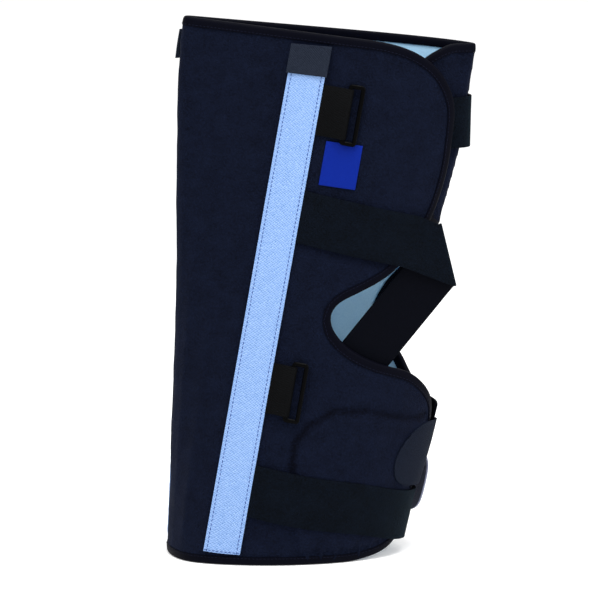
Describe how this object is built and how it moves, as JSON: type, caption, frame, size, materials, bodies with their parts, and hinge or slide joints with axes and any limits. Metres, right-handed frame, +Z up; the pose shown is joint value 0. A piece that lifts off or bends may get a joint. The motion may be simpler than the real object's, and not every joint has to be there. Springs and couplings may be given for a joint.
{
  "type": "knee immobilizer",
  "caption": "Padded knee immobilizer wrap standing upright, notched at the knee, with stay pockets, hook-and-loop straps and flat rings.",
  "frame": {"origin": "on the floor, under the middle of the whole object's box", "axes": "+Z up along the leg, +X towards the front of the leg, -Y towards its outer side"},
  "size_m": [0.2972, 0.1504, 0.519],
  "materials": {
    "navy_pile": "looped pile",
    "navy_binding": "smooth folded tape",
    "light_blue_twill": "pebbled twill",
    "charcoal_cloth": "pebbled cloth",
    "royal_blue": "smooth printed cloth, left plain",
    "black_webbing": "woven tape",
    "black_strap": "looped pile",
    "grey_hook": "hook tape",
    "black_plastic": "moulded, satin"
  },
  "bodies": {
    "wrap": {"wrap_panel": "navy_pile", "edge_binding": "navy_binding", "lateral_stay_pocket": "light_blue_twill", "lateral_pocket_tab": "charcoal_cloth", "medial_stay_pocket": "light_blue_twill", "medial_pocket_tab": "charcoal_cloth", "posterior_stay_pocket": "light_blue_twill", "posterior_pocket_tab": "charcoal_cloth", "lateral_upper_webbing": "black_webbing", "lateral_lower_webbing": "black_webbing", "medial_upper_webbing": "black_webbing", "medial_lower_webbing": "black_webbing", "medial_lower_ring": "black_plastic", "label_patch": "royal_blue", "upper_thigh_strap": "black_strap", "lower_thigh_strap": "black_strap", "upper_calf_strap": "black_strap", "upper_calf_hook_tab": "charcoal_cloth", "lower_calf_strap": "black_strap", "lower_calf_hook_tab": "grey_hook"},
    "lateral_upper_ring": {"lateral_upper_ring": "black_plastic"},
    "lateral_lower_ring": {"lateral_lower_ring": "black_plastic"},
    "medial_upper_ring": {"medial_upper_ring": "black_plastic"}
  },
  "joints": [
    {"name": "lateral_upper_ring_hinge", "type": "hinge", "parent": "wrap", "child": "lateral_upper_ring", "pos_m": [0.02455, -0.03824, 0.42825], "axis": [-0.1751, -0.0755, -0.9817], "range_deg": [-4, 150]},
    {"name": "lateral_lower_ring_hinge", "type": "hinge", "parent": "wrap", "child": "lateral_lower_ring", "pos_m": [-0.0289, -0.0654, 0.1673], "axis": [-0.1746, -0.0919, -0.9803], "range_deg": [-4, 150]},
    {"name": "medial_upper_ring_hinge", "type": "hinge", "parent": "wrap", "child": "medial_upper_ring", "pos_m": [0.00118, 0.03926, 0.32528], "axis": [0.1809, -0.1156, 0.9767], "range_deg": [-4, 150]}
  ]
}
